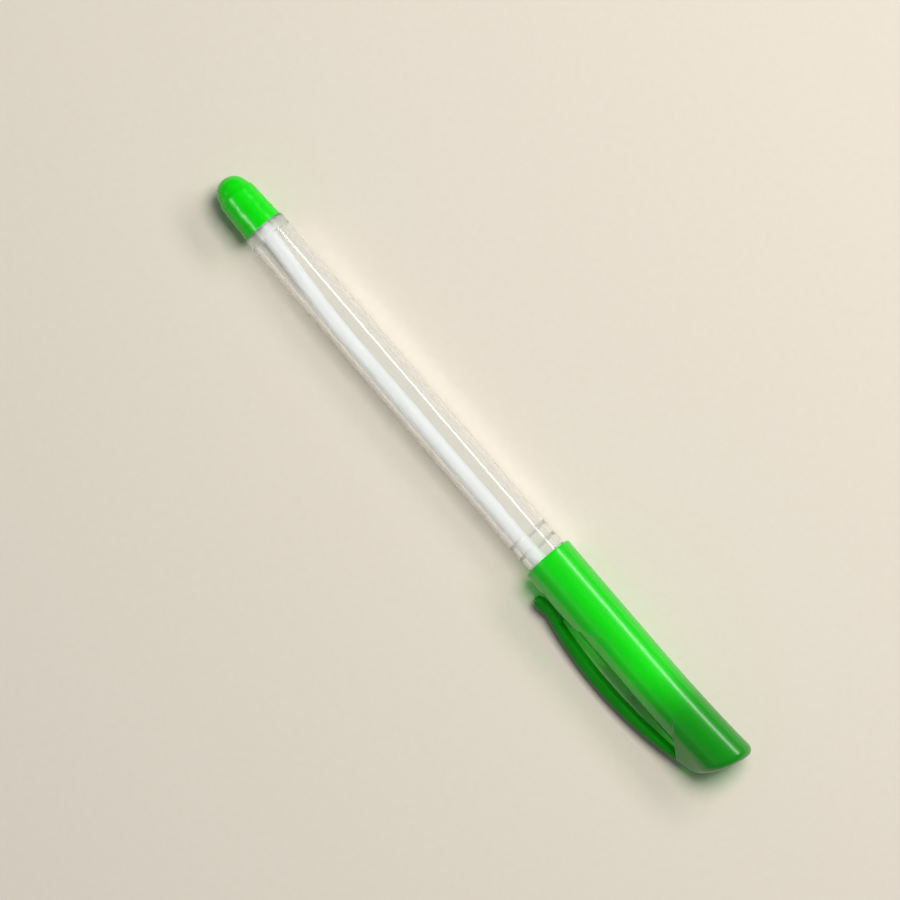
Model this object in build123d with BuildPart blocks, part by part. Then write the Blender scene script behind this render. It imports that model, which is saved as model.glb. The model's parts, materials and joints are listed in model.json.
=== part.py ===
from build123d import *

import os
from math import acos, asin, cos, degrees, radians, sin, sqrt, tan

# A stick ballpoint pen lies on its side with its cap on, tail at -X and cap at +X.
# The clip leans down on the -Y side until its edge rests on the table at Z = 0.
# Lengths are in millimetres and angles in degrees.

# Lengths that add up to the whole pen
end_cap_length = 12.2
barrel_length = 113.8
cap_length = 53.8
cap_end_wall = 5.8
cap_point_gap = 5.1

# Clearances and the overrun of cuts
press_gap = 0.02
cap_clearance = 0.08
ball_clearance = 0.02
bow_clearance = 0.06
hinge_gap = 0.03
overrun = 2.0

# Barrel
barrel_radius = 4.35
barrel_wall = 1.15
barrel_front_chamfer = 0.25
collar_length = 2.5
collar_rise = 0.08
collar_edge_round = 0.06
neck_length = 6.2
neck_step = 1.07
neck_wall = 0.83
bore_end_wall = 1.2

# Grip rings, counted back from the barrel's front
ring_first_setback = 35.5
ring_last_setback = 2.0
ring_pitch = 2.79
ring_groove_radius = 0.18

# End cap, each step counted inwards from the barrel's radius
end_cap_step = 0.15
end_cap_taper = 0.35
dome_step = 0.45
shoulder_round = 0.3
end_cap_core_step = 1.1
end_cap_core_depth = 2.6

# Nose cone
nose_length = 9.8
nose_step = 0.3
nose_front_wall = 0.43
nose_edge_round = 0.25
nose_spigot_length = 8.0
nose_spigot_wall = 0.88

# Refill tube and its bow
refill_radius = 1.54
refill_wall = 0.54
refill_tail_setback = 2.2
refill_front_reach = 1.0
bow_rise_length = 30.0
bow_fall_start = 34.0
bow_fall_length = 21.0
bow_lean = 12.0
bow_bend_share = 0.45
ink_tail_setback = 9.0

# Tip holder
holder_spigot_length = 4.0
holder_flange_length = 1.2
holder_flange_step = 0.24
holder_front_setback = 1.3

# Writing point and ball
ball_radius = 0.35
rim_reach_share = 0.43
rim_wall = 0.07
ink_channel_radius = 0.2
point_radius = 1.05
point_length = 4.6
point_shoulder_length = 1.7
shank_radius = 0.6
shank_length = 3.6

# Cap
cap_wall = 0.83
cap_mouth_round = 0.25
cap_lean_start = 29.0
cap_lean_shift = 0.65
cap_end_radius = 15.4
cap_end_round = 1.2
cap_seat_gap = 0.4
cap_hollow_taper = 1.03
cap_hollow_round = 1.2

# Recess moulded into the cap under the clip
recess_depth = 0.25
recess_start = 18.8
recess_start_slope = 37.0
recess_floor_height = 0.4

# Clip and the block that carries it
clip_lean = 26.3
clip_width = 3.0
clip_thickness = 1.66
clip_rise = 3.92
clip_bow_radius = 73.0
clip_apex_share = 0.489
clip_root_setback = 8.4
clip_root_slope = 46.6
clip_edge_chamfer = 0.35
clip_length = 41.3
clip_notch_length = 4.0
clip_notch_thickness = 1.28
clip_lip_rise = 0.4
clip_tip_height = 1.3
clip_tip_round = 0.55
clip_notch_round = 1.5
rib_width = 2.0
rib_clearance = 0.15
rib_lead_length = 2.2
rib_contact_length = 4.2
rib_tail_length = 2.0
block_edge_radius = 2.0
block_lead = 4.0
block_tail = 3.6
block_merge_lip = 0.035
block_inset = 0.12

# Places along the pen, with X = 0 at the middle of its length
point_reach = nose_length - holder_front_setback + point_length
overall_length = end_cap_length + barrel_length + point_reach + cap_point_gap + cap_end_wall
tail_x = -overall_length / 2
joint_x = tail_x + end_cap_length
collar_front_x = joint_x + collar_length
neck_rear_x = joint_x - neck_length
barrel_front_x = joint_x + barrel_length
nose_front_x = barrel_front_x + nose_length
cap_end_x = tail_x + overall_length
cap_mouth_x = cap_end_x - cap_length
clip_root_x = cap_end_x - clip_root_setback
clip_tip_x = clip_root_x - clip_length
clip_apex_x = clip_tip_x + clip_apex_share * clip_length
cap_bore_radius = barrel_radius + cap_clearance
cap_radius = cap_bore_radius + cap_wall
clip_apex_height = cap_radius + clip_rise

# The pen rests on the cap's side and the clip's lower edge, midway across the table's origin
lean_cos = cos(radians(clip_lean))
lean_sin = sin(radians(clip_lean))
clip_drop = (clip_apex_height - clip_edge_chamfer) * lean_sin + clip_width / 2 * lean_cos
clip_reach = clip_apex_height * lean_cos + (clip_width / 2 - clip_edge_chamfer) * lean_sin
back_reach = cap_radius + cap_lean_shift * lean_cos
axis_z = max(cap_radius, clip_drop)
axis_y = (clip_reach - back_reach) / 2


def leaning_plane(lean):
    """Plane through the pen's axis whose own Y points to -Y, lean degrees below the horizontal."""
    across = (0, sin(radians(lean)), -cos(radians(lean)))
    return Plane(origin=(0, axis_y, axis_z), x_dir=(1, 0, 0), z_dir=across)


pen_axis = Axis((0, axis_y, axis_z), (1, 0, 0))
axis_plane = leaning_plane(0)
clip_plane = leaning_plane(clip_lean)
bow_plane = leaning_plane(bow_lean)


def section_plane(x):
    """Plane square to the pen's axis at x, with its own X towards the clip."""
    return Plane(clip_plane.from_local_coords((x, 0, 0)), x_dir=clip_plane.y_dir, z_dir=(1, 0, 0))


os.makedirs("parts", exist_ok=True)

# Barrel: a clear tube with a collar, a narrow neck for the end cap and grip rings towards the front
ring_count = int((ring_first_setback - ring_last_setback) / ring_pitch) + 1
first_ring_x = barrel_front_x - ring_first_setback
collar_radius = barrel_radius + collar_rise
barrel_bore_radius = barrel_radius - barrel_wall
neck_radius = barrel_radius - neck_step
neck_bore_radius = neck_radius - neck_wall
bore_end_x = collar_front_x + bore_end_wall

with BuildPart() as barrel:
    with BuildSketch(axis_plane):
        with BuildLine():
            Polyline(
                (collar_front_x, barrel_radius),
                (barrel_front_x - barrel_front_chamfer, barrel_radius),
                (barrel_front_x, barrel_radius - barrel_front_chamfer),
                (barrel_front_x, barrel_bore_radius),
                (bore_end_x, barrel_bore_radius),
                (collar_front_x, neck_bore_radius),
                (neck_rear_x, neck_bore_radius),
                (neck_rear_x, neck_radius),
                (joint_x, neck_radius),
                (joint_x, collar_radius),
                (collar_front_x - collar_edge_round, collar_radius),
                (collar_front_x, barrel_radius),
            )
        make_face()
        with Locations(*[(first_ring_x + i * ring_pitch, barrel_radius) for i in range(ring_count)]):
            Circle(ring_groove_radius, mode=Mode.SUBTRACT)
    revolve(axis=pen_axis)
barrel.part.label = "barrel"
export_step(barrel.part, "parts/barrel.step")

# End cap: a domed green plug that is pushed over the barrel's neck up to the collar
end_cap_radius = barrel_radius - end_cap_step
shoulder_radius = end_cap_radius - end_cap_taper
dome_radius = shoulder_radius - dome_step
dome_x = tail_x + dome_radius
socket_radius = neck_radius + press_gap
socket_end_x = neck_rear_x - press_gap
end_cap_core_radius = socket_radius - end_cap_core_step

with BuildPart() as end_cap:
    with BuildSketch(axis_plane):
        with BuildLine():
            TangentArc((tail_x, 0), (dome_x, dome_radius), tangent=(0, 1))
            Line((dome_x, dome_radius), (dome_x, shoulder_radius - shoulder_round))
            TangentArc(
                (dome_x, shoulder_radius - shoulder_round),
                (dome_x + shoulder_round, shoulder_radius),
                tangent=(0, 1),
            )
            Polyline(
                (dome_x + shoulder_round, shoulder_radius),
                (joint_x, end_cap_radius),
                (joint_x, socket_radius),
                (socket_end_x, socket_radius),
                (socket_end_x, end_cap_core_radius),
                (socket_end_x - end_cap_core_depth, end_cap_core_radius),
                (socket_end_x - end_cap_core_depth, 0),
                (tail_x, 0),
            )
        make_face()
    revolve(axis=pen_axis)
end_cap.part.label = "end_cap"
export_step(end_cap.part, "parts/end_cap.step")

# Nose cone: its spigot is pushed into the barrel and its front holds the refill's tip
refill_front_x = barrel_front_x + refill_front_reach
holder_seat_x = refill_front_x + holder_flange_length
holder_radius = refill_radius - holder_flange_step
nose_bore_radius = holder_radius + press_gap
nose_front_radius = nose_bore_radius + nose_front_wall
nose_base_radius = barrel_radius - nose_step
spigot_radius = barrel_bore_radius - press_gap
nose_throat_radius = spigot_radius - nose_spigot_wall

with BuildPart() as nose_cone:
    with BuildSketch(axis_plane):
        with BuildLine():
            Polyline(
                (barrel_front_x - nose_spigot_length, nose_throat_radius),
                (barrel_front_x - nose_spigot_length, spigot_radius),
                (barrel_front_x, spigot_radius),
                (barrel_front_x, nose_base_radius),
                (nose_front_x, nose_front_radius),
                (nose_front_x, nose_bore_radius),
                (holder_seat_x, nose_bore_radius),
                (holder_seat_x, nose_throat_radius),
                (barrel_front_x - nose_spigot_length, nose_throat_radius),
            )
        make_face()
    revolve(axis=pen_axis)
    fillet(nose_cone.edges().group_by(Axis.X)[-1].sort_by(SortBy.RADIUS)[-1], nose_edge_round)
nose_cone.part.label = "nose_cone"
export_step(nose_cone.part, "parts/nose_cone.step")

# Refill tube: it leaves the tail on the axis, bows over to the bore's wall and comes back to the nose
refill_bore_radius = refill_radius - refill_wall
refill_tail_x = neck_rear_x + refill_tail_setback
bow_offset = barrel_bore_radius - refill_radius - bow_clearance
bow_top_rear = (refill_tail_x + bow_rise_length, bow_offset)
bow_top_front = (barrel_front_x - bow_fall_start, bow_offset)
bow_foot = (barrel_front_x - bow_fall_start + bow_fall_length, 0)


def bend_radius(before, corner, after):
    """Radius of the arc at a corner that takes up the named share of its shorter run."""
    run_in = Vector(corner) - Vector(before)
    run_out = Vector(after) - Vector(corner)
    turn = radians(run_in.get_angle(run_out))
    return bow_bend_share * min(run_in.length, run_out.length) / tan(turn / 2)


refill_tail = (refill_tail_x, 0)
refill_front = (refill_front_x, 0)
route = [refill_tail, bow_top_rear, bow_top_front, bow_foot, refill_front]
bow_radii = [bend_radius(*route[i - 1 : i + 2]) for i in range(1, len(route) - 1)]

with BuildPart() as refill_tube:
    with BuildLine(bow_plane) as refill_line:
        FilletPolyline(*route, radius=bow_radii)
    with BuildSketch(Plane(refill_line.line @ 0, z_dir=refill_line.line % 0)):
        Circle(refill_radius)
        Circle(refill_bore_radius, mode=Mode.SUBTRACT)
    sweep(path=refill_line.line)
refill_tube.part.label = "refill_tube"
export_step(refill_tube.part, "parts/refill_tube.step")

# Ink: it fills the tube from a little short of the tail up to the tip holder
ink_radius = refill_bore_radius - press_gap
ink_rise_share = ink_tail_setback / bow_rise_length
ink_tail = (refill_tail_x + ink_tail_setback, bow_offset * ink_rise_share)
ink_front = (refill_front_x - holder_spigot_length - press_gap, 0)

with BuildPart() as ink_column:
    with BuildLine(bow_plane) as ink_line:
        FilletPolyline(ink_tail, bow_top_rear, bow_top_front, bow_foot, ink_front, radius=bow_radii)
    with BuildSketch(Plane(ink_line.line @ 0, z_dir=ink_line.line % 0)):
        Circle(ink_radius)
    sweep(path=ink_line.line)
ink_column.part.label = "ink_column"
export_step(ink_column.part, "parts/ink_column.step")

# Tip holder: its spigot plugs the tube, its flange stops in the nose and its bore grips the point
holder_front_x = nose_front_x - holder_front_setback
shank_rear_x = holder_front_x - shank_length
shank_bore_radius = shank_radius + press_gap

with BuildPart() as tip_holder:
    with BuildSketch(axis_plane):
        with BuildLine():
            Polyline(
                (refill_front_x - holder_spigot_length, ink_channel_radius),
                (refill_front_x - holder_spigot_length, ink_radius),
                (refill_front_x, ink_radius),
                (refill_front_x, refill_radius),
                (holder_seat_x, refill_radius),
                (holder_seat_x, holder_radius),
                (holder_front_x, holder_radius),
                (holder_front_x, shank_bore_radius),
                (shank_rear_x, shank_bore_radius),
                (shank_rear_x, ink_channel_radius),
                (refill_front_x - holder_spigot_length, ink_channel_radius),
            )
        make_face()
    revolve(axis=pen_axis)
tip_holder.part.label = "tip_holder"
export_step(tip_holder.part, "parts/tip_holder.step")

# Writing point: a turned brass cone whose rim is rolled over the ball
ball_x = holder_front_x + point_length - ball_radius
ball_socket_radius = ball_radius + ball_clearance
rim_x = ball_x + rim_reach_share * ball_socket_radius
rim_radius = ball_socket_radius + rim_wall
rim_angle = degrees(acos(rim_reach_share))
seat_angle = 180 - degrees(asin(ink_channel_radius / ball_socket_radius))
cone_start_x = holder_front_x + point_shoulder_length

with BuildPart() as writing_point:
    with BuildSketch(axis_plane):
        with BuildLine():
            socket = CenterArc((ball_x, 0), ball_socket_radius, rim_angle, seat_angle - rim_angle)
            Polyline(
                socket @ 1,
                (shank_rear_x, ink_channel_radius),
                (shank_rear_x, shank_radius),
                (holder_front_x, shank_radius),
                (holder_front_x, point_radius),
                (cone_start_x, point_radius),
                (rim_x, rim_radius),
                socket @ 0,
            )
        make_face()
    revolve(axis=pen_axis)
writing_point.part.label = "writing_point"
export_step(writing_point.part, "parts/writing_point.step")

# Writing ball: it turns freely in the point's socket
with BuildPart() as writing_ball:
    with BuildSketch(axis_plane):
        with BuildLine():
            CenterArc((ball_x, 0), ball_radius, 0, 180)
            Line((ball_x - ball_radius, 0), (ball_x + ball_radius, 0))
        make_face()
    revolve(axis=pen_axis)
writing_ball.part.label = "writing_ball"
export_step(writing_ball.part, "parts/writing_ball.step")


def bow_height(x, apex_height, radius):
    """Height above the pen's axis, at x, of an arc whose apex is over the clip's middle."""
    return apex_height - radius + sqrt(radius**2 - (x - clip_apex_x) ** 2)


# The cap's outside follows the axis and then leans away from the clip on one long arc
lean_start_x = cap_mouth_x + cap_lean_start
lean_run = cap_length - cap_lean_start
lean_radius = (lean_run**2 + cap_lean_shift**2) / (2 * cap_lean_shift)
lean_sweep = degrees(asin((lean_run + overrun) / lean_radius))


def lean_shift(x):
    """How far the cap's outside has moved away from the clip at x."""
    return lean_radius - sqrt(lean_radius**2 - max(0, x - lean_start_x) ** 2)


# Recess cutter: it clears the clip's side of the cap and leaves the sloping face of the clip's block
root_height = bow_height(clip_root_x, clip_apex_height, clip_bow_radius)
root_run = 1 / tan(radians(clip_root_slope))
start_run = tan(radians(90 - recess_start_slope))
recess_start_x = cap_mouth_x + recess_start
recess_rise = clip_apex_height - recess_floor_height
recess_floor_end_x = clip_root_x - (root_height - recess_floor_height) * root_run

with BuildPart() as recess_cutter:
    with BuildSketch(clip_plane):
        with BuildLine():
            Polyline(
                (recess_start_x, recess_floor_height),
                (recess_floor_end_x, recess_floor_height),
                (recess_floor_end_x + recess_rise * root_run, clip_apex_height),
                (recess_start_x - recess_rise * start_run, clip_apex_height),
                close=True,
            )
        make_face()
    extrude(amount=cap_radius + overrun, both=True)
    with BuildSketch(section_plane(cap_mouth_x - overrun)):
        with Locations((-recess_depth, 0)):
            Circle(cap_radius)
    extrude(amount=cap_length + overrun, mode=Mode.SUBTRACT)

# Cap: a translucent green tube with a slanting closed end and a block that carries the clip
cap_seat_x = barrel_front_x + cap_seat_gap
cap_hollow_radius = cap_bore_radius - cap_hollow_taper
hollow_end_x = cap_end_x - cap_end_wall
end_crest_height = cap_end_round - cap_radius - cap_lean_shift
end_centre = (cap_end_x - cap_end_radius, end_crest_height)
block_end_x = clip_root_x + block_tail
block_end_height = cap_radius - lean_shift(block_end_x) + block_merge_lip
block_rear_x = clip_root_x - block_lead
block_rear_height = bow_height(block_rear_x, clip_apex_height, clip_bow_radius)
block_heights = {block_rear_x: block_rear_height, clip_root_x: root_height, block_end_x: block_end_height}

with BuildPart() as cap:
    with BuildLine(clip_plane) as cap_spine:
        Line((cap_mouth_x, 0), (lean_start_x, 0))
        JernArc((lean_start_x, 0), (1, 0), lean_radius, -lean_sweep)
    with BuildSketch(section_plane(cap_mouth_x)):
        Circle(cap_radius)
    sweep(path=cap_spine.line)
    with BuildSketch(clip_plane):
        with Locations(end_centre):
            Rectangle(
                cap_end_radius + 2 * overrun,
                2 * cap_end_radius,
                align=(Align.MIN, Align.CENTER),
            )
            Circle(cap_end_radius, mode=Mode.SUBTRACT)
    extrude(amount=cap_radius + overrun, both=True, mode=Mode.SUBTRACT)
    fillet(cap.faces().sort_by(Axis.X)[-1].edges(), cap_end_round)
    for x, height in block_heights.items():
        with BuildSketch(section_plane(x)):
            with Locations((-lean_shift(x), 0)):
                Circle(cap_radius - block_inset)
            with Locations((height - block_edge_radius, 0)):
                Circle(block_edge_radius)
            make_hull()
    loft(ruled=True)
    add(recess_cutter.part, mode=Mode.SUBTRACT)
    with BuildSketch(clip_plane):
        with BuildLine():
            Polyline(
                (cap_mouth_x, 0),
                (cap_mouth_x, cap_bore_radius),
                (cap_seat_x, cap_bore_radius),
                (hollow_end_x - cap_hollow_round, cap_hollow_radius),
            )
            TangentArc(
                (hollow_end_x - cap_hollow_round, cap_hollow_radius),
                (hollow_end_x, cap_hollow_radius - cap_hollow_round),
                tangent=(1, 0),
            )
            Polyline(
                (hollow_end_x, cap_hollow_radius - cap_hollow_round),
                (hollow_end_x, 0),
                (cap_mouth_x, 0),
            )
        make_face()
    revolve(axis=pen_axis, mode=Mode.SUBTRACT)
    fillet(cap.edges().filter_by(GeomType.CIRCLE).group_by(Axis.X)[0], cap_mouth_round)
cap.part.label = "cap"
export_step(cap.part, "parts/cap.step")

# Clip: a bowed bar that springs from the block, with a flared lip and a rib that grips a pocket
clip_notch_x = clip_tip_x + clip_notch_length
clip_inner_apex = clip_apex_height - clip_thickness
notch_height = bow_height(clip_notch_x, clip_apex_height, clip_bow_radius)
inner_notch_height = notch_height - clip_notch_thickness
inner_drop = clip_inner_apex - inner_notch_height
clip_inner_radius = ((clip_apex_x - clip_notch_x) ** 2 + inner_drop**2) / (2 * inner_drop)
inner_root_height = bow_height(clip_root_x, clip_inner_apex, clip_inner_radius)
lip_height = notch_height + clip_lip_rise
rib_foot = cap_radius + rib_clearance
rib_start_x = clip_tip_x + rib_lead_length
rib_end_x = rib_start_x + rib_contact_length
rib_lead_x = clip_tip_x + clip_tip_round
rib_top_x = rib_end_x + rib_tail_length
rib_top_height = bow_height(rib_top_x, clip_inner_apex, clip_inner_radius)
slope_cos = cos(radians(clip_root_slope))
slope_sin = sin(radians(clip_root_slope))
clip_root = (clip_root_x - hinge_gap * slope_sin, root_height + hinge_gap * slope_cos)

with BuildPart() as cap_clip:
    with BuildSketch(clip_plane) as clip_side:
        with BuildLine():
            inner_bow = ThreePointArc(
                (clip_notch_x, inner_notch_height),
                (clip_apex_x, clip_inner_apex),
                (clip_root_x, inner_root_height),
                mode=Mode.PRIVATE,
            )
            root_line = IntersectingLine(clip_root, (-slope_cos, -slope_sin), inner_bow)
            ThreePointArc(root_line @ 1, (clip_apex_x, clip_inner_apex), inner_bow @ 0)
            Polyline(
                (clip_notch_x, inner_notch_height),
                (clip_tip_x, lip_height - clip_tip_height),
                (clip_tip_x, lip_height),
                (clip_notch_x, notch_height),
            )
            ThreePointArc((clip_notch_x, notch_height), (clip_apex_x, clip_apex_height), clip_root)
        make_face()
        fillet(clip_side.vertices().group_by(Axis.X)[1], clip_notch_round)
        fillet(clip_side.vertices().group_by(Axis.X)[0], clip_tip_round)
    extrude(amount=clip_width / 2, both=True)
    root_face = cap_clip.faces().sort_by(Axis.X)[-1]
    chamfer(cap_clip.faces().filter_by(clip_plane).edges() - root_face.edges(), clip_edge_chamfer)
    with BuildSketch(clip_plane):
        with BuildLine():
            Polyline(
                (rib_lead_x, lip_height - clip_tip_height / 2),
                (rib_start_x, rib_foot),
                (rib_end_x, rib_foot),
                (rib_top_x, rib_top_height + clip_thickness / 2),
                close=True,
            )
        make_face()
    extrude(amount=rib_width / 2, both=True)
cap_clip.part.label = "cap_clip"
export_step(cap_clip.part, "parts/cap_clip.step")
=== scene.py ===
import json
from cmath import exp, phase
from math import acos, asin, ceil, cos, pi, radians, sin, tan

import bmesh
import bpy
import numpy as np
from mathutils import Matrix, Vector


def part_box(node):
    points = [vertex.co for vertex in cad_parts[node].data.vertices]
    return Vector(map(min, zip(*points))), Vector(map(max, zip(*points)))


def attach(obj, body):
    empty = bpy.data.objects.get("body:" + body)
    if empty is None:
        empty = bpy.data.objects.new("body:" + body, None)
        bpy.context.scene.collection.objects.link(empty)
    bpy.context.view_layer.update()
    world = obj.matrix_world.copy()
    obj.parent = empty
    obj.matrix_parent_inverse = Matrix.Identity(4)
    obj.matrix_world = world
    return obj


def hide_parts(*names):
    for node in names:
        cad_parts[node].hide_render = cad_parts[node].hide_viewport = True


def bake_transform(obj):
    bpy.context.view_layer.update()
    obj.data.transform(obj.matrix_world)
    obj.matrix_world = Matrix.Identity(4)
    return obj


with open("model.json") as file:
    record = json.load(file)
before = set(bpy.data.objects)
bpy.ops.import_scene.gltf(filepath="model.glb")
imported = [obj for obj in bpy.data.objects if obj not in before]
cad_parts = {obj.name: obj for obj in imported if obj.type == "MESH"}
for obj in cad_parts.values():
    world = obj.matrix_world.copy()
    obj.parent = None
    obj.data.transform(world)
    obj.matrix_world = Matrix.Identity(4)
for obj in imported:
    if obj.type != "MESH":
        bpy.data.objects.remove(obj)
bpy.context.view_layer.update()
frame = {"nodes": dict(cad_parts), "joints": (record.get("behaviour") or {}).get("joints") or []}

# Writing ball: a ground and polished tungsten carbide ball, 0.7 mm across.
# It sits loose in the brass point, held by the point's rolled rim, and turns as the pen writes.
mm = 0.001
joints = {joint["name"]: joint for joint in frame["joints"]}
ball_x, axis_y, axis_z = joints["ball_roll"]["pos_m"]
ball_radius = 0.35 * mm
ball_rings = 24
ball_sides = 48
weld_distance = 0.0002 * mm
sharp_edge = radians(40)


def linear(hex_colour):
    """Linear colour, with alpha, of an sRGB hex value."""
    parts = [int(hex_colour[i : i + 2], 16) / 255 for i in (1, 3, 5)]
    return [c / 12.92 if c <= 0.04045 else ((c + 0.055) / 1.055) ** 2.4 for c in parts] + [1]


def add(material, kind, inputs=None, **settings):
    """Adds a shader node with its settings, and its inputs as values or as links from other nodes."""
    made = material.node_tree.nodes.new("ShaderNode" + kind)
    for name, value in settings.items():
        setattr(made, name, value)
    for name, value in (inputs or {}).items():
        if isinstance(value, bpy.types.NodeSocket):
            material.node_tree.links.new(value, made.inputs[name])
        else:
            made.inputs[name].default_value = value
    return made


def blank_material(name):
    """A material with nothing in it but where things are on the piece, in metres."""
    material = bpy.data.materials.new(name)
    material.use_nodes = True
    material.node_tree.nodes.clear()
    return material, add(material, "TexCoord").outputs["Object"]


def on_axis(x, radius, turn):
    """Points of the row frame at x along the pen, at a radius and a turn about its axis."""
    x, radius, turn = np.broadcast_arrays(x, radius, turn)
    return np.stack([x, axis_y + radius * np.cos(turn), axis_z + radius * np.sin(turn)], -1)


def skinned(name, rows, material, slot, body=None, ring=False):
    """A piece with quads between rows of points, where each row is a closed loop.

    A row of one repeated point closes an end, and with ring the last row joins the first.
    """
    rows = np.asarray(rows)
    index = np.arange(rows.shape[0] * rows.shape[1]).reshape(rows.shape[:2])
    if ring:
        index = np.vstack([index, index[:1]])
    near, far = index[:-1], index[1:]
    quads = np.stack([near, np.roll(near, -1, 1), np.roll(far, -1, 1), far], -1)
    mesh = bpy.data.meshes.new(name)
    mesh.from_pydata(rows.reshape(-1, 3).tolist(), [], quads.reshape(-1, 4).tolist())
    shape = bmesh.new()
    shape.from_mesh(mesh)
    bmesh.ops.remove_doubles(shape, verts=shape.verts, dist=weld_distance)
    bmesh.ops.recalc_face_normals(shape, faces=shape.faces)
    if shape.calc_volume(signed=True) < 0:
        bmesh.ops.reverse_faces(shape, faces=shape.faces)
    shape.to_mesh(mesh)
    shape.free()
    mesh.shade_smooth()
    mesh.set_sharp_from_angle(angle=sharp_edge)
    mesh.materials.append(material)
    piece = bpy.data.objects.new(name, mesh)
    bpy.context.scene.collection.objects.link(piece)
    if body:
        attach(piece, body)
    return piece


# Polished carbide: grey and mirror-like, a little cloudy where ink has dried on it.
carbide, place = blank_material("polished_tungsten_carbide")
ink_film_size = 0.2 * mm
film = add(carbide, "TexNoise", {"Vector": place, "Scale": 1 / ink_film_size, "Detail": 3.0})
film_gloss = add(carbide, "MapRange", {"Value": film.outputs["Fac"], "To Min": 0.08, "To Max": 0.3})
film_colour = add(
    carbide,
    "Mix",
    {0: film.outputs["Fac"], 6: linear("#8f9092"), 7: linear("#b9babd")},
    data_type="RGBA",
)
carbide_shader = add(
    carbide,
    "BsdfPrincipled",
    {"Base Color": film_colour.outputs[2], "Metallic": 1.0, "Roughness": film_gloss.outputs["Result"]},
)
add(carbide, "OutputMaterial", {"Surface": carbide_shader.outputs["BSDF"]})

around_ball = np.linspace(0, 2 * pi, ball_sides, endpoint=False)
ball_rows = [
    on_axis(ball_x - ball_radius * cos(tilt), ball_radius * sin(tilt), around_ball)
    for tilt in np.linspace(0, pi, ball_rings + 1)
]
carbide_ball = skinned("carbide_ball", ball_rows, carbide, "polished_carbide", "ball")
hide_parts("writing_ball")

# Writing point: a brass cone turned on a lathe, with its rim rolled over the ball.
# Its shank is pressed into the tip holder.
point_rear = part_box("writing_point")[0].x
holder_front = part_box("tip_holder")[1].x
socket_radius = 0.37 * mm
rim_radius = 0.44 * mm
rim_reach_share = 0.43
ink_channel_radius = 0.2 * mm
shank_radius = 0.6 * mm
point_radius = 1.05 * mm
point_shoulder = 1.7 * mm
point_edge_round = 0.12 * mm
point_sides = 64
arc_step = radians(12)
guard_gap = 0.06 * mm
guarded_run = 3 * guard_gap


def rounded(corners):
    """Outline through the (x, radius, round) corners of a closed shape, with each round in small steps."""
    outline = []
    for i, (x, height, size) in enumerate(corners):
        corner = complex(x, height)
        before = complex(*corners[i - 1][:2]) - corner
        after = complex(*corners[(i + 1) % len(corners)][:2]) - corner
        if size == 0:
            outline.append((x, height))
            continue
        half = abs(phase(after / before)) / 2
        middle = before / abs(before) + after / abs(after)
        centre = corner + middle / abs(middle) * size / sin(half)
        start = corner + before / abs(before) * size / tan(half) - centre
        end = corner + after / abs(after) * size / tan(half) - centre
        turn = phase(end / start)
        steps = max(2, ceil(abs(turn) / arc_step))
        spokes = [centre + start * exp(1j * turn * step / steps) for step in range(steps + 1)]
        outline += [(spoke.real, spoke.imag) for spoke in spokes]
    return outline


def guarded(outline):
    """The outline with a point close to each end of every long run, so that rounds don't shade the flats."""
    points = [complex(*point) for point in outline]
    kept = points[:1]
    for start, end in zip(points, points[1:]):
        step = (end - start) / max(abs(end - start), guard_gap) * guard_gap
        if abs(end - start) > guarded_run:
            kept += [start + step, end - step]
        kept.append(end)
    return [(point.real, point.imag) for point in kept]


def turned(name, outline, sides, *settings, **options):
    """A piece turned about the pen's axis from an outline of (x, radius) points."""
    around = np.linspace(0, 2 * pi, sides, endpoint=False)
    rows = [on_axis(x, radius, around) for x, radius in guarded(outline + outline[:1])]
    return skinned(name, rows, *settings, **options)


# Turned brass: warm yellow metal with fine tool rings. The rings are drawn 0.12 mm apart, coarser than
# the lathe leaves them, so that they show.
brass, place = blank_material("turned_brass")
tool_ring_pitch = 0.12 * mm
waves_per_scale = 20 / (2 * pi)
tool_rings = add(
    brass,
    "TexWave",
    {"Vector": place, "Scale": 1 / (tool_ring_pitch * waves_per_scale), "Distortion": 0.6, "Detail": 1.0},
    bands_direction="X",
)
tarnish_size = 0.8 * mm
tarnish = add(brass, "TexNoise", {"Vector": place, "Scale": 1 / tarnish_size, "Detail": 4.0})
brass_colour = add(
    brass,
    "Mix",
    {0: tarnish.outputs["Fac"], 6: linear("#b8934a"), 7: linear("#dcbd73")},
    data_type="RGBA",
)
ring_bump = add(brass, "Bump", {"Height": tool_rings.outputs["Fac"], "Strength": 0.25, "Distance": 0.01 * mm})
brass_gloss = add(brass, "MapRange", {"Value": tarnish.outputs["Fac"], "To Min": 0.22, "To Max": 0.4})
brass_shader = add(
    brass,
    "BsdfPrincipled",
    {
        "Base Color": brass_colour.outputs[2],
        "Metallic": 1.0,
        "Roughness": brass_gloss.outputs["Result"],
        "Normal": ring_bump.outputs["Normal"],
    },
)
add(brass, "OutputMaterial", {"Surface": brass_shader.outputs["BSDF"]})

rim_x = ball_x + rim_reach_share * socket_radius
rim_tilt = acos(rim_reach_share)
seat_tilt = pi - asin(ink_channel_radius / socket_radius)
socket = [
    (ball_x + socket_radius * cos(tilt), socket_radius * sin(tilt), 0)
    for tilt in np.linspace(rim_tilt, seat_tilt, ball_rings)
]
point_corners = socket + [
    (point_rear, ink_channel_radius, 0),
    (point_rear, shank_radius, 0),
    (holder_front, shank_radius, 0),
    (holder_front, point_radius, point_edge_round),
    (holder_front + point_shoulder, point_radius, point_edge_round),
    (rim_x, rim_radius, 0),
]
brass_point = turned(
    "brass_point", rounded(point_corners), point_sides, brass, "turned_brass", "pen", ring=True
)
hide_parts("writing_point")

# Tip holder: a white acetal plug that joins the point to the refill tube.
# It is moulded, pushed into the tube's end and hidden in the nose, so the solid itself is shown.

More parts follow.
